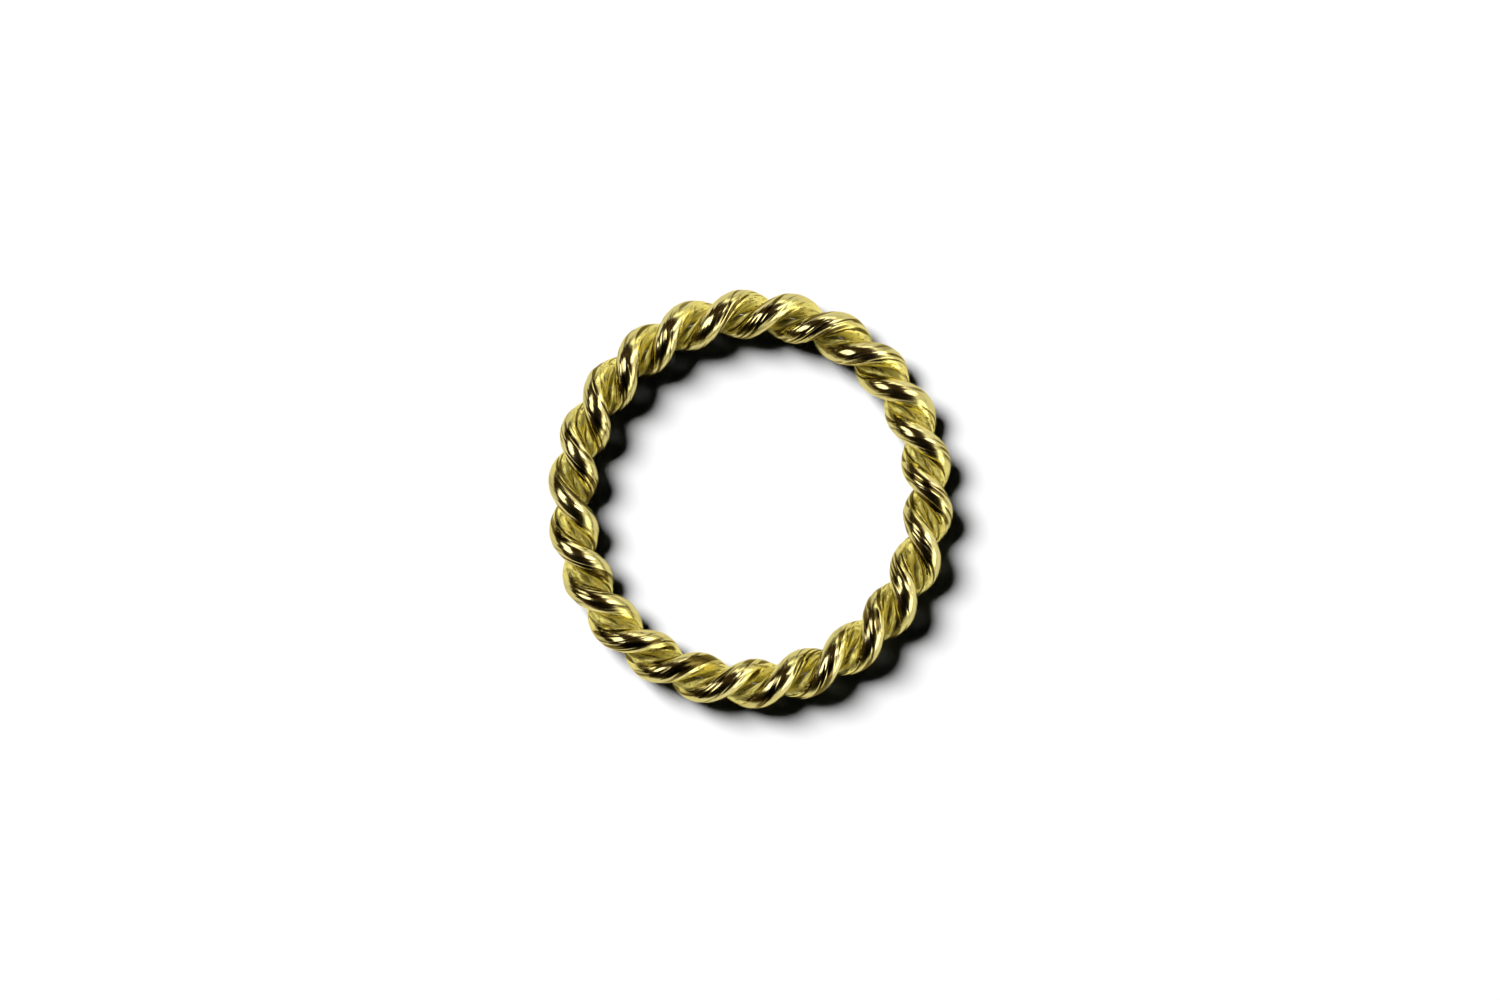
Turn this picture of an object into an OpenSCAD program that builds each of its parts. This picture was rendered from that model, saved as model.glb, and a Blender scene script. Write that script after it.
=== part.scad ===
// Twisted ring: two round wires, each a closed loop, laid round each other like a two-strand rope.
// Millimetres. The origin is the ring's centre, +Z is the ring's axis and +Y its slightly longer way.
// The lay is left-handed. The loops link once in every turn of the twist, so they never come apart;
// the second wire can only slip a little way round the ring inside the first.

/* [Ring] */
// Mean radius of the ring's middle line
ring_radius = 22; // [18:0.5:40]
// How far the middle line is drawn out along Y, and pressed in along X
oval = 0.45; // [0:0.01:0.8]

/* [Wire] */
// Diameter of each wire
wire_d = 3; // [2:0.05:4]
// Clearance left between the two wires
wire_gap = 0.1; // [0.06:0.01:0.3]
// Thickness of the braze that closes each wire into a loop
braze_t = 0.15; // [0.05:0.01:0.4]

/* [Twist] */
// Shortest stretch of ring for one full turn of the twist, in wire diameters
lay_ratio = 4.1; // [3.8:0.1:8]
// Direction in which the first wire starts a turn, standing outermost (degrees)
lay_start = 8.4; // [0:0.1:32]
// Unevenness of the hand-laid twist, once round the ring (degrees)
wander_once = 1; // [0:0.05:1.2]
// Unevenness twice round the ring (degrees)
wander_twice = 0.9; // [0:0.05:1.2]
// Unevenness from one turn to the next (degrees)
wander_short = 0.2; // [0:0.05:0.4]

/* [Hidden] */

// Twist: the whole turns that fit in the ring, and the radius that the wires' centres wind on
turns = floor(2 * PI * ring_radius / (lay_ratio * wire_d));
lay_radius = (wire_d + wire_gap) / 2;
wire_length = turns * norm([2 * PI * lay_radius, 2 * PI * ring_radius / turns]);

// Where each wave of the unevenness peaks, and how often the short one repeats (degrees, and a count)
once_at = 75;
twice_at = 143;
short_at = 7;
short_waves = 9;

// Phase of the twist, in degrees: 0 is outermost, 90 on top, 180 innermost and 270 underneath
side_a = 0;
side_b = 180;
underneath = 270;

// Each wire is closed underneath, the two brazes about half a ring apart
seam_a = seam_angle(floor(turns / 4), side_a);
seam_b = seam_angle(floor(3 * turns / 4), side_b);
half_braze = 180 * braze_t / wire_length;

// Facets: sides round the wire, sections in each turn of the twist, and the step for a direction
wire_sides = 20;
sections_per_turn = 22;
nudge = 0.05;

function unit(v) = v / norm(v);

// Ring angle at which a wire lies underneath, after a number of whole turns
function seam_angle(turn, side) = lay_start + (360 * turn + underneath - side) / turns;

// Middle line of the rope at ring angle t, and the level direction that points out of it there
function middle(t) = [(ring_radius - oval) * cos(t), (ring_radius + oval) * sin(t), 0];
function outward(t) = unit([(ring_radius + oval) * cos(t), (ring_radius - oval) * sin(t), 0]);

// How far the twist runs ahead of an even lay at ring angle t
function wander(t) =
    wander_once * cos(t - once_at)
    + wander_twice * cos(2 * (t - twice_at))
    + wander_short * cos(short_waves * (t - short_at));

// Direction from the middle line to a wire's centre, and that centre
function lean(t, side) =
    let (phase = turns * (t - lay_start - wander(t)) + side)
    cos(phase) * outward(t) + [0, 0, sin(phase)];
function centre(t, side) = middle(t) + lay_radius * lean(t, side);

// Round section of a wire, square to its run, as a ring of points
function section(t, side) =
    let (
        run = unit(centre(t + nudge, side) - centre(t - nudge, side)),
        out = unit(lean(t, side) - (lean(t, side) * run) * run),
        up = cross(run, out)
    )
    [for (i = [0 : wire_sides - 1])
        let (a = 360 * i / wire_sides)
        centre(t, side) + wire_d / 2 * (cos(a) * out + sin(a) * up)];

// A length of wire between two ring angles, in a number of equal steps, with flat ends
module wire(from, to, steps, side) {
    points = [for (k = [0 : steps]) each section(from + (to - from) * k / steps, side)];
    start = [for (i = [0 : wire_sides - 1]) i];
    end = [for (i = [wire_sides - 1 : -1 : 0]) steps * wire_sides + i];
    skin = [for (k = [0 : steps - 1], i = [0 : wire_sides - 1])
        let (
            a = k * wire_sides + i,
            b = k * wire_sides + (i + 1) % wire_sides
        )
        each [[a, a + wire_sides, b], [b, a + wire_sides, b + wire_sides]]];
    polyhedron(points, concat([start, end], skin), convexity = 12);
}

// A strand runs once round the ring, from one face of its braze to the other
module strand(seam, side) {
    wire(seam + half_braze, seam + 360 - half_braze, turns * sections_per_turn, side);
}

// A braze fills the joint between the strand's two ends, polished flush with the wire
module braze(seam, side) {
    wire(seam - half_braze, seam + half_braze, 1, side);
}

module strand_a() { color([0.86, 0.68, 0.30]) strand(seam_a, side_a); }
module strand_b() { color([0.80, 0.60, 0.22]) strand(seam_b, side_b); }
module braze_a() { color([0.93, 0.84, 0.55]) braze(seam_a, side_a); }
module braze_b() { color([0.93, 0.84, 0.55]) braze(seam_b, side_b); }

strand_a();
braze_a();
strand_b();
braze_b();
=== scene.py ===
"""Twisted metal ring: two round wires, each a closed loop, laid round each other like a rope.

Metres and radians throughout. The ring's centre is the origin and its axis is +Z.
"""

import math

import bpy
import numpy as np
from bpy.props import FloatProperty, FloatVectorProperty, IntProperty, PointerProperty
from bpy.types import Operator, Panel, PropertyGroup
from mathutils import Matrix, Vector


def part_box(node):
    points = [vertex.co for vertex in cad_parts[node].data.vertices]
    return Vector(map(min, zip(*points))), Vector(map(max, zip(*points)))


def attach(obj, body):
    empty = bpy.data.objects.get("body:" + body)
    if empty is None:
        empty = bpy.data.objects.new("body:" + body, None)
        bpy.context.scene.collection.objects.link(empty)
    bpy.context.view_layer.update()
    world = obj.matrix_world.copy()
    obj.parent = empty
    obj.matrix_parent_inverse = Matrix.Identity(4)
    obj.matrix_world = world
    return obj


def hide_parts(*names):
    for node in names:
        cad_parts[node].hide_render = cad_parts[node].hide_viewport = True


bl_info = {
    "name": "Twisted Ring",
    "version": (1, 0, 0),
    "blender": (4, 5, 0),
    "location": "View3D > Sidebar > Twisted Ring",
    "description": "Builds a ring of two twisted wires, with its drawn and polished surface",
    "category": "Add Mesh",
}

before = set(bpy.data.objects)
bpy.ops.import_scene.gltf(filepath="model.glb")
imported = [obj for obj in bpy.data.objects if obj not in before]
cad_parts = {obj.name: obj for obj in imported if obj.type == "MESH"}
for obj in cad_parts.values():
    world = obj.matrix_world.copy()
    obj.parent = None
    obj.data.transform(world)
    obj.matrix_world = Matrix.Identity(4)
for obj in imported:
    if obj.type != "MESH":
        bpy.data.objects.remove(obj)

# Phase of the twist at which each wire starts, and the phase in which a wire lies underneath
SIDES = {"strand_a": 0.0, "strand_b": math.pi}
UNDERNEATH = 1.5 * math.pi

# Each strand with its body, the braze that closes it, and the share of the turns before its seam
LOOPS = (
    ("strand_a", "first_loop", "braze_a", 0.25),
    ("strand_b", "second_loop", "braze_b", 0.75),
)

# How far the finished pieces may stray from the frame's own boxes
BOX_TOLERANCE = 0.0002

# Millimetres in a metre: materials read their places in millimetres
MM = 1000.0

# Cells of the surface's noises, round the wire and along it, and the seeds set aside for a strand
FINE_LINES = (34, 70)
CROSSING_LINES = (24, 56)
STRONG_PATCHES = (6, 46)
HOLLOWS = (5, 58)
SEEDS_A_STRAND = 10

# How far the crossing lines swing to each side, in turns round the wire, and how many times
SWING = 0.3
SWINGS = 3

# Shares of the ring's half thickness between which polishing sets in, and cosines of the angle
# from the other wire between which rubbing does
POLISHED = (0.72, 0.94)
RUBBED = (0.93, 0.99)

# Share of a braze's thickness by which its middle is polished hollow
BRAZE_HOLLOW = 0.12

# Depths of the finest detail, which shades the surface and doesn't move it
RIDGE_DEPTH = 0.000015
LINE_DEPTH = 0.00001
PIT_DEPTH = 0.00004
FILING_DEPTH = 0.000008
RUBBED_DEPTH = 0.00001

# Tint of the film's own weak shine
FILM_TINT = (1.0, 0.9, 0.55, 1.0)

# Where the middle of the view meets the ring's middle plane
VIEW_CENTRE = (-0.00001, -0.00014)

# Soft boxes that the metal mirrors: name, azimuth and angle from straight up as seen by the
# camera (degrees), width and height as angles (degrees), and brightness
SOFT_BOXES = (
    ("box_left", 168, 42, 36, 34, 2.5),
    ("box_right", 25, 47, 22, 44, 2.3),
    ("box_low_right", -30, 67, 50, 24, 1.7),
    ("box_top", 78, 64, 40, 16, 1.4),
)
BOX_DISTANCE = 0.6

# The key light: azimuth as seen by the camera, angle from straight up, and spread (degrees)
KEY_AZIMUTH = 139
KEY_FROM_ZENITH = 43.5
KEY_SPREAD = 28

# Round patches of the studio: azimuth and angle from straight up of each one's middle as seen by
# the camera, and the angles from its middle up to which it is full and where it ends (degrees)
DARK_CEILING = (-170, 22, 58, 75)
DARK_CORNER = (140, 80, 22, 44)
DARK_LOW_LEFT = (-110, 60, 12, 35)
DARK_OVERHEAD = (-100, 33, 24, 42)
BRIGHT_RIGHT = (0, 90, 30, 150)

# Colours of the studio, mirrored in the metal
DIM_WALLS = (0.48, 0.46, 0.32, 1.0)
BRIGHT_WALLS = (0.95, 0.93, 0.76, 1.0)
SHADE = (0.03, 0.016, 0.002, 1.0)
BLACK_OVERHEAD = (0.003, 0.002, 0.0006, 1.0)
FAR_FLOOR = (0.72, 0.72, 0.70, 1.0)


class RingShape(PropertyGroup):
    """Sizes of the ring and of its twist."""

    ring_radius: FloatProperty(
        name="Ring radius",
        description="Mean radius of the ring's middle line",
        default=0.022,
        unit="LENGTH",
    )
    oval: FloatProperty(
        name="Oval",
        description="How far the middle line is drawn out along Y and pressed in along X",
        default=0.00045,
        unit="LENGTH",
    )
    wire_d: FloatProperty(
        name="Wire diameter",
        description="Diameter of each wire",
        default=0.003,
        unit="LENGTH",
    )
    wire_gap: FloatProperty(
        name="Wire gap",
        description="Clearance left between the two wires",
        default=0.0001,
        unit="LENGTH",
    )
    braze_t: FloatProperty(
        name="Braze thickness",
        description="Thickness of the braze that closes each wire",
        default=0.00015,
        unit="LENGTH",
    )
    turns: IntProperty(
        name="Turns",
        description="Whole turns of the twist round the ring",
        default=11,
        min=1,
    )
    lay_start: FloatProperty(
        name="Lay start",
        description="Direction in which the first wire stands outermost",
        default=math.radians(8.4),
        unit="ROTATION",
    )
    wander_once: FloatProperty(
        name="Wander, once round",
        description="Unevenness of the hand-laid twist once round the ring",
        default=math.radians(1.0),
        unit="ROTATION",
    )
    wander_twice: FloatProperty(
        name="Wander, twice round",
        description="Unevenness of the twist twice round the ring",
        default=math.radians(0.9),
        unit="ROTATION",
    )
    wander_short: FloatProperty(
        name="Wander, short",
        description="Unevenness of the twist from one turn to the next",
        default=math.radians(0.2),
        unit="ROTATION",
    )
    once_at: FloatProperty(
        name="Once-round peak",
        description="Direction in which the once-round wander peaks",
        default=math.radians(75),
        unit="ROTATION",
    )
    twice_at: FloatProperty(
        name="Twice-round peak",
        description="Direction in which the twice-round wander peaks",
        default=math.radians(143),
        unit="ROTATION",
    )
    short_at: FloatProperty(
        name="Short-wander peak",
        description="Direction in which the short wander peaks",
        default=math.radians(7),
        unit="ROTATION",
    )
    short_waves: IntProperty(
        name="Short waves",
        description="Waves of the short wander round the ring",
        default=9,
        min=1,
    )


class WireFinish(PropertyGroup):
    """Relief and colours of the wires' surface."""

    sides: IntProperty(
        name="Sides",
        description="Faces round the wire",
        default=132,
        min=24,
    )
    rings: IntProperty(
        name="Rings",
        description="Faces along each wire",
        default=728,
        min=200,
    )
    groove_depth: FloatProperty(
        name="Groove depth",
        description="Depth of the drawn lines that run along the wire",
        default=0.00009,
        unit="LENGTH",
    )
    swell_depth: FloatProperty(
        name="Swell depth",
        description="Depth of the shallow hollows between the fuller places of the wire",
        default=0.00002,
        unit="LENGTH",
    )
    crest_color: FloatVectorProperty(
        name="Crest",
        description="Metal where polishing reaches it",
        default=(0.81, 0.70, 0.33),
        subtype="COLOR",
        size=3,
    )
    flank_color: FloatVectorProperty(
        name="Flank",
        description="Metal on the sides of the wire",
        default=(0.78, 0.68, 0.20),
        subtype="COLOR",
        size=3,
    )
    # Painted shade: this darker colour on the outside of the lobes stands in for the dimmer light
    # they mirror.
    rim_color: FloatVectorProperty(
        name="Rim",
        description="Duller metal on the outside of the lobes, below where polishing reaches",
        default=(0.60, 0.53, 0.21),
        subtype="COLOR",
        size=3,
    )
    # Painted light: this brighter, deeper yellow in the recess stands in for light bounced between
    # the wires.
    recess_bounce_light_color: FloatVectorProperty(
        name="Recess",
        description="Deeper yellow metal in the recess between the wires",
        default=(1.0, 0.89, 0.26),
        subtype="COLOR",
        size=3,
    )
    cloud_color: FloatVectorProperty(
        name="Clouds",
        description="Faint darker clouds over the crests and the sides",
        default=(0.74, 0.58, 0.16),
        subtype="COLOR",
        size=3,
    )
    stain_color: FloatVectorProperty(
        name="Stain",
        description="Brown stain in parts of the recess",
        default=(0.40, 0.27, 0.05),
        subtype="COLOR",
        size=3,
    )
    # Painted shade: this dark colour in the drawn lines stands in for the shade in the grooves.
    groove_shade_color: FloatVectorProperty(
        name="Patina",
        description="Dark patina in the drawn lines",
        default=(0.075, 0.045, 0.004),
        subtype="COLOR",
        size=3,
    )
    pit_color: FloatVectorProperty(
        name="Pits",
        description="Dark floors of the small pits",
        default=(0.08, 0.045, 0.008),
        subtype="COLOR",
        size=3,
    )
    braze_color: FloatVectorProperty(
        name="Braze",
        description="Paler metal of the brazed joints",
        default=(0.86, 0.78, 0.50),
        subtype="COLOR",
        size=3,
    )
    braze_cloud_color: FloatVectorProperty(
        name="Braze clouds",
        description="Yellower clouds in the brazed joints",
        default=(0.74, 0.62, 0.30),
        subtype="COLOR",
        size=3,
    )
    void_color: FloatVectorProperty(
        name="Voids",
        description="Dark small voids in the brazed joints",
        default=(0.14, 0.09, 0.03),
        subtype="COLOR",
        size=3,
    )


class StageLook(PropertyGroup):
    """Floor, lights and camera."""

    view_roll: FloatProperty(
        name="View roll",
        description="How far the camera is turned about the ring's axis",
        default=math.radians(14.5),
        unit="ROTATION",
    )
    view_width: FloatProperty(
        name="View width",
        description="Width of the view at the ring's middle plane",
        default=0.1817,
        unit="LENGTH",
    )
    lens: FloatProperty(
        name="Lens",
        description="Focal length of the camera, in millimetres",
        default=100.0,
        unit="CAMERA",
    )
    floor_color: FloatVectorProperty(
        name="Floor",
        description="Pale floor",
        default=(0.86, 0.86, 0.86),
        subtype="COLOR",
        size=3,
    )
    floor_tone: FloatVectorProperty(
        name="Floor tone",
        description="Slightly darker tone that the floor is faintly clouded with",
        default=(0.7, 0.7, 0.7),
        subtype="COLOR",
        size=3,
    )
    floor_half: FloatProperty(
        name="Half floor",
        description="Half of the side of the square floor",
        default=2.0,
        unit="LENGTH",
    )
    key_strength: FloatProperty(
        name="Key strength",
        description="Light that the soft key sheds on a surface facing it, in watts a square metre",
        default=5.3,
    )


def unit(v):
    """Each vector of an array divided by its own length."""
    return v / np.linalg.norm(v, axis=-1, keepdims=True)


def wander(shape, t):
    """How far the twist runs ahead of an even lay: three cosine waves round the ring."""
    once = shape.wander_once * np.cos(t - shape.once_at)
    twice = shape.wander_twice * np.cos(2 * (t - shape.twice_at))
    short = shape.wander_short * np.cos(shape.short_waves * (t - shape.short_at))
    return once + twice + short


def centre_line(shape, t, side):
    """A wire's centre line, and its lean from the ring's middle line, at ring angles t.

    The middle line is an ellipse. The lean turns once about it in each turn of the twist:
    the cosine of its phase points out of the ring and the sine points up. The wire's centre
    is the middle line plus the lean times the lay radius.
    """
    narrow = shape.ring_radius - shape.oval
    wide = shape.ring_radius + shape.oval
    level = np.zeros_like(t)
    middle = np.stack([narrow * np.cos(t), wide * np.sin(t), level], axis=-1)
    outward = unit(np.stack([wide * np.cos(t), narrow * np.sin(t), level], axis=-1))
    phase = shape.turns * (t - shape.lay_start - wander(shape, t)) + side
    lean = np.cos(phase)[:, None] * outward
    lean[:, 2] = np.sin(phase)
    lay_radius = (shape.wire_d + shape.wire_gap) / 2
    return middle + lay_radius * lean, lean


def section_axes(shape, t, side):
    """Centres of the wire's sections at ring angles t, and each section's two axes.

    The run is the direction between the centres a small step before and after. The first
    axis is the lean with its part along the run taken off, and the second is square to both.
    """
    step = 0.0005
    centre, lean = centre_line(shape, t, side)
    after, _ = centre_line(shape, t + step, side)
    before, _ = centre_line(shape, t - step, side)
    run = unit(after - before)
    out = unit(lean - np.sum(lean * run, axis=-1, keepdims=True) * run)
    return centre, out, np.cross(run, out)


def lattice_noise(around, along, cells, seed):
    """Random heights from 0 to 1 at the corners of a lattice, eased across its cells.

    The lattice closes on itself round the wire. Each cell mixes its four corners with the
    weights f * f * (3 - 2 * f), where f is the place in the cell each way.
    """
    cells_around, cells_along = cells
    corners = np.random.default_rng(seed).random((cells_along + 1, cells_around))
    u = around * cells_around
    v = np.clip(along, 0.0, 0.999999) * cells_along
    i = np.floor(u).astype(int)
    j = np.floor(v).astype(int)
    fu = u - i
    fv = v - j
    fu = fu * fu * (3 - 2 * fu)
    fv = fv * fv * (3 - 2 * fv)
    left = i % cells_around
    right = (i + 1) % cells_around
    low = corners[j, left] * (1 - fu) + corners[j, right] * fu
    high = corners[j + 1, left] * (1 - fu) + corners[j + 1, right] * fu
    return low * (1 - fv) + high * fv


def ease(x, start, end):
    """0 up to start, 1 from end on, and a smooth S between them."""
    f = np.clip((x - start) / (end - start), 0.0, 1.0)
    return f * f * (3 - 2 * f)


def relief(finish, around, along, worn, rubbed, seed):
    """How deep the surface lies under the full round of the wire, and how grooved it is.

    Two layers of long narrow lattice cells make the drawn lines. One of them swings from side
    to side in a sine along the wire, so its lines cross the others. A coarse layer says where
    the lines are strong, and they are partly rubbed out where the wire is worn. Another coarse
    layer makes shallow hollows. All fade where one wire rubs the other, and towards the ends,
    where the joint is filed smooth.
    """
    drift = SWING * np.sin(2 * math.pi * SWINGS * along)
    fine = lattice_noise(around, along, FINE_LINES, seed)
    crossing = lattice_noise(around + drift, along, CROSSING_LINES, seed + 1)
    patches = lattice_noise(around, along, STRONG_PATCHES, seed + 2)
    hollows = lattice_noise(around, along, HOLLOWS, seed + 3)
    lines = 0.65 * ease(fine, 0.4, 0.75) + 0.35 * ease(crossing, 0.45, 0.8)
    strength = (0.45 + 0.55 * ease(patches, 0.3, 0.7)) * (1 - 0.2 * worn)
    smooth = ease(np.minimum(along, 1 - along), 0.004, 0.02) * (1 - rubbed)
    grooved = lines * strength * smooth
    return finish.groove_depth * grooved + finish.swell_depth * hollows * smooth, grooved


def put_vectors(mesh, name, values):
    """Stores one vector for each vertex under a name that materials can read."""
    layer = mesh.attributes.new(name, "FLOAT_VECTOR", "POINT")
    layer.data.foreach_set("vector", np.ascontiguousarray(values, np.float32).ravel())


def put_floats(mesh, name, values):
    """Stores one number for each vertex under a name that materials can read."""
    layer = mesh.attributes.new(name, "FLOAT", "POINT")
    layer.data.foreach_set("value", np.ascontiguousarray(values, np.float32).ravel())


def wire_mesh(name, rows, wire_place, marks):
    """A closed length of wire from rows of points round it.

    Neighbouring rows are joined by quads that face outwards, and a flat face closes each end.
    Each vertex also keeps its place in the straightened wire in millimetres, and the named
    marks that its material reads.
    """
    count, sides = rows.shape[:2]
    index = np.arange(count * sides).reshape(count, sides)
    following = np.roll(index, -1, axis=1)
    quads = np.stack([index[:-1], index[1:], following[1:], following[:-1]], axis=-1)
    faces = quads.reshape(-1, 4).tolist()
    faces.append(index[0].tolist())
    faces.append(index[-1, ::-1].tolist())
    mesh = bpy.data.meshes.new(name)
    mesh.from_pydata(rows.reshape(-1, 3), [], faces)
    smooth = np.ones(len(faces), bool)
    smooth[-2:] = False
    mesh.polygons.foreach_set("use_smooth", smooth)
    put_vectors(mesh, "wire_place", wire_place.reshape(-1, 3) * MM)
    for mark, values in marks.items():
        put_floats(mesh, mark, values)
    mesh.update()
    piece = bpy.data.objects.new(name, mesh)
    bpy.context.scene.collection.objects.link(piece)
    return piece


def seam_angle(shape, share, side):
    """Ring angle at which an evenly laid wire lies underneath, after that share of the turns."""
    turn = math.floor(share * shape.turns)
    return shape.lay_start + (2 * math.pi * turn + UNDERNEATH - side) / shape.turns


def wire_length(shape):
    """Length of one wire: its turns times the length of one turn of a helix."""
    lay_radius = (shape.wire_d + shape.wire_gap) / 2
    pitch = 2 * math.pi * shape.ring_radius / shape.turns
    return shape.turns * math.hypot(2 * math.pi * lay_radius, pitch)


def half_braze(shape):
    """Half of the ring angle that a braze takes up."""
    return math.pi * shape.braze_t / wire_length(shape)


def make_strand(shape, finish, name, share, seed):
    """One wire from one face of its braze to the other, with its relief.

    A point of the surface is the section's centre plus the radius there, the wire's radius
    less the relief, times the cosine and sine of its angle along the section's two axes. The
    wire is worn where it lies highest or lowest, and rubbed where it faces the other wire.
    """
    side = SIDES[name]
    seam = seam_angle(shape, share, side)
    half = half_braze(shape)
    along = np.linspace(0.0, 1.0, finish.rings + 1)
    t = seam + half + along * (2 * math.pi - 2 * half)
    centre, out, up = section_axes(shape, t, side)
    around = np.arange(finish.sides) / finish.sides
    angle = 2 * math.pi * around
    grid_around, grid_along = np.meshgrid(around, along)
    full = shape.wire_d / 2
    level = centre[:, 2:] + full * (np.cos(angle) * out[:, 2:] + np.sin(angle) * up[:, 2:])
    worn = ease(np.abs(level) / (shape.wire_d + shape.wire_gap / 2), *POLISHED)
    rubbed = ease(-np.cos(angle), *RUBBED)[None, :]
    depth, grooved = relief(finish, grid_around, grid_along, worn, rubbed, seed)
    radius = full - depth
    across = np.cos(angle)[None, :] * radius
    above = np.sin(angle)[None, :] * radius
    rows = centre[:, None] + across[..., None] * out[:, None] + above[..., None] * up[:, None]
    run = grid_along * wire_length(shape)
    place = np.stack([run, across, above], axis=-1)
    seam_distance = np.minimum(run, wire_length(shape) - run)
    marks = {"seam_distance": seam_distance * MM, "worn": worn, "grooved": grooved}
    return wire_mesh(name + "_wire", rows, place, marks)


def make_braze(shape, finish, name, strand, share):
    """The thin disc of braze between a wire's two ends, polished a little hollow.

    Its sections lie on the same line as the wire's. The radius sinks in the middle by a share
    of the thickness times one less the square of the place between its two faces, which runs
    from -1 to 1.
    """
    side = SIDES[strand]
    seam = seam_angle(shape, share, side)
    between = np.linspace(-1.0, 1.0, 9)
    centre, out, up = section_axes(shape, seam + between * half_braze(shape), side)
    angle = 2 * math.pi * np.arange(finish.sides) / finish.sides
    radius = shape.wire_d / 2 - BRAZE_HOLLOW * shape.braze_t * (1 - between * between)
    across = np.cos(angle)[None, :] * radius[:, None]
    above = np.sin(angle)[None, :] * radius[:, None]
    rows = centre[:, None] + across[..., None] * out[:, None] + above[..., None] * up[:, None]
    run = np.broadcast_to(between[:, None] * shape.braze_t / 2, across.shape)
    place = np.stack([run, across, above], axis=-1)
    return wire_mesh(name + "_joint", rows, place, {})


def check_box(piece, node):
    """Stops the script if a finished piece strays from the box of the node that it stands for."""
    vertices = piece.data.vertices
    points = np.empty((len(vertices), 3), np.float32)
    vertices.foreach_get("co", points.ravel())
    low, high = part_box(node)
    stray = max(
        np.abs(points.min(axis=0) - np.array(low)).max(),
        np.abs(points.max(axis=0) - np.array(high)).max(),
    )
    if stray > BOX_TOLERANCE:
        raise RuntimeError(f"{piece.name} strays {stray * MM:.3f} mm from {node}")


class Nodes:
    """Adds nodes to a material or a world, from left to right, and links them."""

    def __init__(self, tree):
        self.tree = tree
        tree.nodes.clear()
        self.column = 0

    def add(self, kind, settings=None, **inputs):
        """A node of a kind, with its settings and with values or links on its inputs."""
        node = self.tree.nodes.new("ShaderNode" + kind)
        node.location = (self.column, 0)
        self.column += 200
        for key, value in (settings or {}).items():
            setattr(node, key, value)
        for key, value in inputs.items():
            socket = self.socket(node, key)
            if isinstance(value, bpy.types.NodeSocket):
                self.tree.links.new(value, socket)
            else:
                socket.default_value = value
        return node

    @staticmethod
    def socket(node, key):
        """The input with this name, written with underscores, or this number after an i."""
        if key[0] == "i" and key[1:].isdigit():
            return node.inputs[int(key[1:])]
        return node.inputs[key.replace("_", " ")]

    def noise(self, vector, scale, detail, roughness=0.5, distortion=0.0):
        """A noise from 0 to 1 with about this many features to each unit of the vector."""
        node = self.add(
            "TexNoise",
            Vector=vector,
            Scale=scale,
            Detail=detail,
            Roughness=roughness,
            Distortion=distortion,
        )
        return node.outputs["Fac"]

    def stretch(self, vector, along, across):
        """The vector with its first part and its other two parts scaled."""
        node = self.add("Mapping", Vector=vector, Scale=(along, across, across))
        return node.outputs["Vector"]

    def attribute(self, name, output="Fac"):
        """What the mesh keeps for each vertex under this name."""
        return self.add("Attribute", {"attribute_name": name}).outputs[output]

    def span(self, value, low, high, to_low=0.0, to_high=1.0):
        """The value taken from one span to another with eased ends, and held beyond them."""
        node = self.add(
            "MapRange",
            {"interpolation_type": "SMOOTHSTEP"},
            Value=value,
            From_Min=low,
            From_Max=high,
            To_Min=to_low,
            To_Max=to_high,
        )
        return node.outputs["Result"]

    def math(self, operation, first, second):
        """Two numbers joined by an operation, such as ADD or MULTIPLY."""
        node = self.add("Math", {"operation": operation}, i0=first, i1=second)
        return node.outputs["Value"]

    def mix(self, factor, first, second):
        """The first colour blended to the second by the factor."""
        node = self.add("Mix", {"data_type": "RGBA"}, i0=factor, i6=first, i7=second)
        return node.outputs[2]

    def bump(self, height, distance, below=None):
        """A normal from a height, with the depth of a full step in metres."""
        inputs = {"Height": height, "Distance": distance, "Strength": 1.0}
        if below is not None:
            inputs["Normal"] = below
        return self.add("Bump", **inputs).outputs["Normal"]

    def surface(self, **inputs):
        """The principled shader with these inputs, as the whole surface of the material."""
        shader = self.add("BsdfPrincipled", **inputs)
        self.add("OutputMaterial", Surface=shader.outputs["BSDF"])


def new_material(name):
    """An empty material with this name, and what adds nodes to it."""
    material = bpy.data.materials.new(name)
    material.use_nodes = True
    return material, Nodes(material.node_tree)


def opaque(color):
    """A colour with full cover."""
    return (color[0], color[1], color[2], 1.0)


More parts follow.
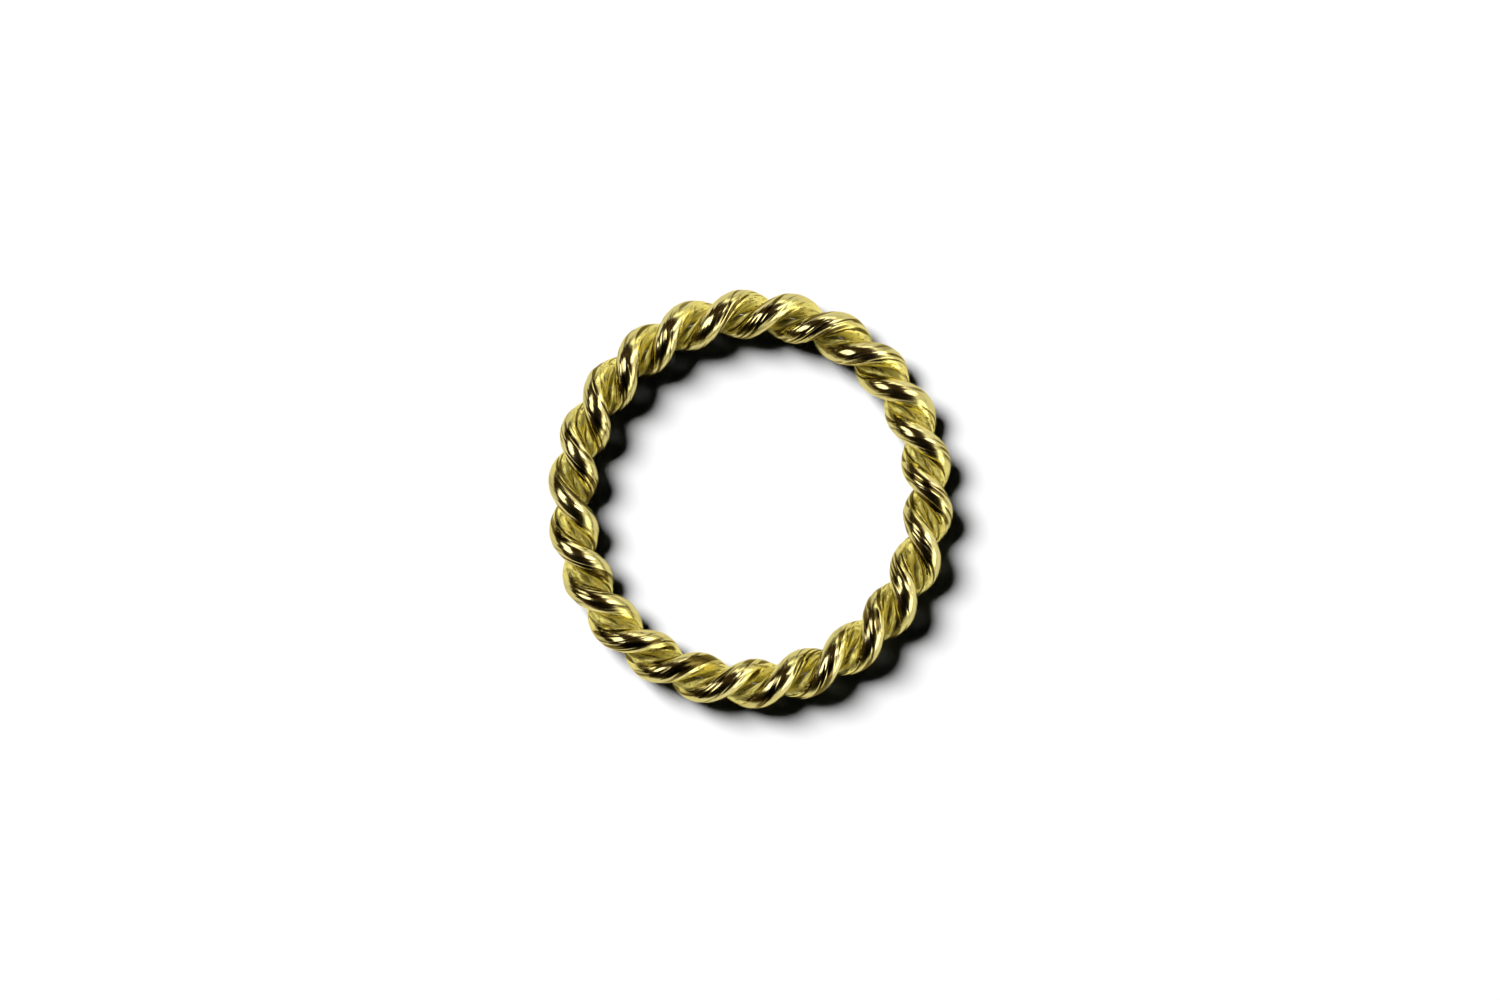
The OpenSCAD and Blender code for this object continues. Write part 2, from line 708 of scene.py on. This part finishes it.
def wire_color(nodes, finish, facing, radius, recess, grime, pitted):
    """Colour of the wire, built up from the metal to the dirt on it.

    A rim darkened by painted shade and a yellower flank lie under a bright crest. Over them come
    faint clouds, painted bounce light that turns the recess a deeper yellow, with its stain,
    painted shade in the drawn lines, and dark pits.
    """
    worn = nodes.attribute("worn")
    grooved = nodes.attribute("grooved")
    # Painted shade: the outside of the lobes takes the darker rim colour, for the dimmer light they
    # mirror.
    rim = nodes.span(facing, 0.2 * radius, 0.9 * radius)
    side = nodes.mix(rim, opaque(finish.flank_color), opaque(finish.rim_color))
    body = nodes.mix(worn, side, opaque(finish.crest_color))
    clouds = nodes.noise(nodes.attribute("wire_place", "Vector"), 0.5, 3.0, 0.6)
    cloudy = nodes.span(clouds, 0.35, 0.75, 0.0, 0.25)
    clouded = nodes.mix(cloudy, body, opaque(finish.cloud_color))
    # Painted bounce light: the recess is turned a brighter, deeper yellow.
    bounce_lit = nodes.mix(recess, clouded, opaque(finish.recess_bounce_light_color))
    stain = nodes.math("MULTIPLY", recess, nodes.span(grime, 0.52, 0.75, 0.0, 0.25))
    stained = nodes.mix(stain, bounce_lit, opaque(finish.stain_color))
    # Painted shade in the drawn lines, weaker deep in the recess.
    groove_shade_strength = nodes.span(recess, 0.2, 1.0, 0.94, 0.5)
    groove_shade = nodes.math("MULTIPLY", nodes.span(grooved, 0.2, 0.52), groove_shade_strength)
    lined = nodes.mix(groove_shade, stained, opaque(finish.groove_shade_color))
    return nodes.mix(nodes.math("MULTIPLY", pitted, 0.7), lined, opaque(finish.pit_color))


def wire_material(shape, finish):
    """Drawn and polished wire with painted shade in its lines, pits, and a matt film in its recess.

    All patterns lie in the straightened wire, so lines follow it round the ring. The wire is
    smoother on its crests than in its recess, and rubbed across where the joint is filed. The
    film covers the metal in patches, by how far the shader is metallic.
    """
    material, nodes = new_material("polished_wire")
    place = nodes.attribute("wire_place", "Vector")
    facing = nodes.add("SeparateXYZ", Vector=place).outputs["Y"]
    radius = shape.wire_d / 2 * MM
    recess = nodes.span(facing, 0.3 * radius, -0.6 * radius)
    lines = nodes.noise(nodes.stretch(place, 0.12, 1.0), 6.0, 4.0, 0.6)
    grime = nodes.noise(nodes.stretch(place, 0.45, 1.0), 2.2, 5.0, 0.65, 0.4)
    pits = nodes.noise(nodes.stretch(place, 0.6, 1.0), 3.0, 4.0, 0.6)
    pits_fade = nodes.span(facing, 0.8 * radius, -2 / 15 * radius)
    pitted = nodes.math("MULTIPLY", nodes.span(pits, 0.57, 0.65), pits_fade)

    filed = nodes.span(nodes.attribute("seam_distance"), 1.8, 0.2)
    rubbed = nodes.noise(nodes.stretch(place, 6.0, 0.35), 2.0, 3.0, 0.6)
    base_rough = nodes.span(lines, 0.3, 0.75, 0.12, 0.22)
    soft_rough = nodes.math("ADD", base_rough, nodes.math("MULTIPLY", recess, 0.4))
    roughness = nodes.math("MAXIMUM", soft_rough, nodes.math("MULTIPLY", filed, 0.3))

    patches = nodes.span(grime, 0.42, 0.58, 0.7, 0.05)
    film = nodes.math("MULTIPLY", nodes.span(recess, 0.1, 0.8), patches)

    ridges = nodes.noise(nodes.stretch(place, 0.14, 1.0), 2.0, 1.0, 0.5)
    ridged = nodes.bump(ridges, RIDGE_DEPTH)
    drawn = nodes.bump(lines, LINE_DEPTH, ridged)
    pitting = nodes.bump(nodes.math("SUBTRACT", 1.0, pitted), PIT_DEPTH, drawn)
    filing = nodes.bump(nodes.math("MULTIPLY", filed, rubbed), FILING_DEPTH, pitting)

    nodes.surface(
        Base_Color=wire_color(nodes, finish, facing, radius, recess, grime, pitted),
        Metallic=nodes.math("SUBTRACT", 1.0, film),
        Roughness=roughness,
        Specular_Tint=FILM_TINT,
        Normal=filing,
    )
    return material


def braze_material(finish):
    """Paler brazing metal, rubbed across, with a few small voids."""
    material, nodes = new_material("braze")
    place = nodes.attribute("wire_place", "Vector")
    rubbed = nodes.noise(nodes.stretch(place, 6.0, 0.35), 2.0, 3.0, 0.6)
    voids = nodes.span(nodes.noise(place, 6.0, 2.0), 0.62, 0.7)
    clouds = nodes.noise(place, 1.2, 2.0)
    body = nodes.mix(clouds, opaque(finish.braze_color), opaque(finish.braze_cloud_color))
    color = nodes.mix(nodes.math("MULTIPLY", voids, 0.6), body, opaque(finish.void_color))
    nodes.surface(
        Base_Color=color,
        Metallic=1.0,
        Roughness=nodes.span(rubbed, 0.3, 0.7, 0.2, 0.4),
        Normal=nodes.bump(nodes.math("SUBTRACT", rubbed, voids), RUBBED_DEPTH),
    )
    return material


def floor_material(look):
    """Matt pale floor with a faint unevenness of tone."""
    material, nodes = new_material("pale_floor")
    place = nodes.add("TexCoord").outputs["Object"]
    tone = nodes.math("MULTIPLY", nodes.noise(place, 40.0, 2.0), 0.04)
    color = nodes.mix(tone, opaque(look.floor_color), opaque(look.floor_tone))
    nodes.surface(Base_Color=color, Roughness=0.95, Specular_IOR_Level=0.1)
    return material


def direction(look, azimuth, from_zenith):
    """Unit vector towards an azimuth as seen by the camera and an angle from straight up.

    Both are in degrees. Its parts are the sine of the angle from straight up times the cosine
    and the sine of the azimuth, and the cosine of the angle from straight up.
    """
    turned = math.radians(azimuth) + look.view_roll
    lean = math.radians(from_zenith)
    return Vector(
        (
            math.sin(lean) * math.cos(turned),
            math.sin(lean) * math.sin(turned),
            math.cos(lean),
        )
    )


def hang_lamp(name, lamp, way, distance):
    """Hangs a lamp at a distance from the ring's centre in a direction, facing the centre."""
    thing = bpy.data.objects.new(name, lamp)
    thing.location = way * distance
    thing.rotation_mode = "QUATERNION"
    thing.rotation_quaternion = way.to_track_quat("Z", "Y")
    bpy.context.scene.collection.objects.link(thing)
    return thing


def make_soft_box(look, name, azimuth, from_zenith, width, height, brightness):
    """An oval lamp that faces the ring and shows only as a mirrored light in the metal.

    Its width is twice its distance times the tangent of half its angle, and so is its height.
    Its power is its brightness times pi times its area.
    """
    lamp = bpy.data.lights.new(name, "AREA")
    lamp.shape = "ELLIPSE"
    lamp.size = 2 * BOX_DISTANCE * math.tan(math.radians(width / 2))
    lamp.size_y = 2 * BOX_DISTANCE * math.tan(math.radians(height / 2))
    area = math.pi / 4 * lamp.size * lamp.size_y
    lamp.energy = brightness * math.pi * area
    thing = hang_lamp(name, lamp, direction(look, azimuth, from_zenith), BOX_DISTANCE)
    thing.visible_camera = False
    thing.visible_diffuse = False


def make_key(look):
    """The soft key light, which lights the floor and the film and throws the ring's shadow.

    It is a sun, so its distance doesn't matter. The metal doesn't mirror it.
    """
    lamp = bpy.data.lights.new("key", "SUN")
    lamp.energy = look.key_strength
    lamp.angle = math.radians(KEY_SPREAD)
    thing = hang_lamp("key", lamp, direction(look, KEY_AZIMUTH, KEY_FROM_ZENITH), 1.0)
    thing.visible_glossy = False


def round_patch(nodes, look, way, azimuth, from_zenith, full_to, ends_at):
    """1 in a round patch of the studio and 0 outside it, by the cosine of the angle between."""
    middle = direction(look, azimuth, from_zenith)
    cosine = nodes.add("VectorMath", {"operation": "DOT_PRODUCT"}, i0=way, i1=tuple(middle))
    low = math.cos(math.radians(ends_at))
    high = math.cos(math.radians(full_to))
    return nodes.span(cosine.outputs["Value"], low, high)


def make_world(look):
    """A studio round the ring that only the metal mirrors.

    Its walls are dim on the left and bright on the right, with a dark ceiling, two dark parts
    and a black one overhead. From just above the horizon down it is the far floor.
    """
    world = bpy.data.worlds.new("studio")
    world.use_nodes = True
    nodes = Nodes(world.node_tree)
    way = nodes.add("TexCoord").outputs["Generated"]
    height = nodes.add("SeparateXYZ", Vector=way).outputs["Z"]
    ceiling = round_patch(nodes, look, way, *DARK_CEILING)
    overhead = round_patch(nodes, look, way, *DARK_OVERHEAD)
    corner = round_patch(nodes, look, way, *DARK_CORNER)
    low_left = round_patch(nodes, look, way, *DARK_LOW_LEFT)
    shade = nodes.math("MAXIMUM", nodes.math("MAXIMUM", ceiling, corner), low_left)
    walls = nodes.mix(round_patch(nodes, look, way, *BRIGHT_RIGHT), DIM_WALLS, BRIGHT_WALLS)
    shaded = nodes.mix(shade, walls, SHADE)
    room = nodes.mix(overhead, shaded, BLACK_OVERHEAD)
    below = nodes.span(height, 0.04, 0.13, 1.0, 0.0)
    color = nodes.mix(below, room, FAR_FLOOR)
    back = nodes.add("Background", Color=color, Strength=1.0)
    nodes.add("OutputWorld", Surface=back.outputs["Background"])
    world.cycles_visibility.diffuse = False
    bpy.context.scene.world = world


def make_floor(look):
    """A flat square sheet under the lowest point of the ring."""
    half = look.floor_half
    low = min(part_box(name)[0].z for name in SIDES)
    corners = [(-half, -half, low), (half, -half, low), (half, half, low), (-half, half, low)]
    mesh = bpy.data.meshes.new("floor")
    mesh.from_pydata(corners, [], [(0, 1, 2, 3)])
    mesh.materials.append(floor_material(look))
    floor = bpy.data.objects.new("floor", mesh)
    bpy.context.scene.collection.objects.link(floor)


def make_camera(look):
    """A camera straight above the ring, at the distance where the lens spans the view's width."""
    lens = bpy.data.cameras.new("camera")
    lens.lens = look.lens
    camera = bpy.data.objects.new("camera", lens)
    distance = look.view_width * lens.lens / lens.sensor_width
    camera.location = (*VIEW_CENTRE, distance)
    camera.rotation_euler = (0.0, 0.0, look.view_roll)
    lens.clip_start = 0.01
    lens.clip_end = 10.0
    bpy.context.scene.collection.objects.link(camera)
    bpy.context.scene.camera = camera


class RING_OT_strands(Operator):
    """Makes the two wires, each in place of its plain strand"""

    bl_idname = "twisted_ring.strands"
    bl_label = "Strands"

    def execute(self, context):
        shape = context.scene.ring_shape
        finish = context.scene.wire_finish
        material = wire_material(shape, finish)
        for number, (name, body, _, share) in enumerate(LOOPS, start=1):
            piece = make_strand(shape, finish, name, share, SEEDS_A_STRAND * number)
            check_box(piece, name)
            piece.data.materials.append(material)
            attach(piece, body)
            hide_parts(name)
        return {"FINISHED"}


class RING_OT_brazes(Operator):
    """Makes the two brazed joints that close the wires"""

    bl_idname = "twisted_ring.brazes"
    bl_label = "Brazes"

    def execute(self, context):
        shape = context.scene.ring_shape
        finish = context.scene.wire_finish
        material = braze_material(finish)
        for strand, body, name, share in LOOPS:
            piece = make_braze(shape, finish, name, strand, share)
            check_box(piece, name)
            piece.data.materials.append(material)
            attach(piece, body)
            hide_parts(name)
        return {"FINISHED"}


class RING_OT_stage(Operator):
    """Makes the floor, the lights and the camera"""

    bl_idname = "twisted_ring.stage"
    bl_label = "Stage"

    def execute(self, context):
        look = context.scene.stage_look
        make_floor(look)
        make_world(look)
        make_key(look)
        for box in SOFT_BOXES:
            make_soft_box(look, *box)
        make_camera(look)
        context.scene.view_settings.view_transform = "Standard"
        context.scene.cycles.caustics_reflective = False
        return {"FINISHED"}


class RING_PT_panel(Panel):
    """Lists the parts of the ring and their sizes"""

    bl_label = "Twisted Ring"
    bl_idname = "RING_PT_panel"
    bl_space_type = "VIEW_3D"
    bl_region_type = "UI"
    bl_category = "Twisted Ring"

    def draw(self, context):
        for operator in OPERATORS:
            self.layout.operator(operator.bl_idname)
        for name, group in SETTINGS.items():
            box = self.layout.box()
            for key in group.__annotations__:
                box.prop(getattr(context.scene, name), key)


OPERATORS = (RING_OT_strands, RING_OT_brazes, RING_OT_stage)
SETTINGS = {"ring_shape": RingShape, "wire_finish": WireFinish, "stage_look": StageLook}


def register():
    """Adds the settings to the scene, and the operators and the panel."""
    for name, group in SETTINGS.items():
        bpy.utils.register_class(group)
        setattr(bpy.types.Scene, name, PointerProperty(type=group))
    for operator in OPERATORS:
        bpy.utils.register_class(operator)
    bpy.utils.register_class(RING_PT_panel)


def unregister():
    """Takes them off again."""
    bpy.utils.unregister_class(RING_PT_panel)
    for operator in reversed(OPERATORS):
        bpy.utils.unregister_class(operator)
    for name, group in reversed(SETTINGS.items()):
        delattr(bpy.types.Scene, name)
        bpy.utils.unregister_class(group)


def main():
    """Builds the ring and its stage."""
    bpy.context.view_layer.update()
    register()
    bpy.ops.twisted_ring.strands()
    bpy.ops.twisted_ring.brazes()
    bpy.ops.twisted_ring.stage()


if __name__ == "__main__":
    main()
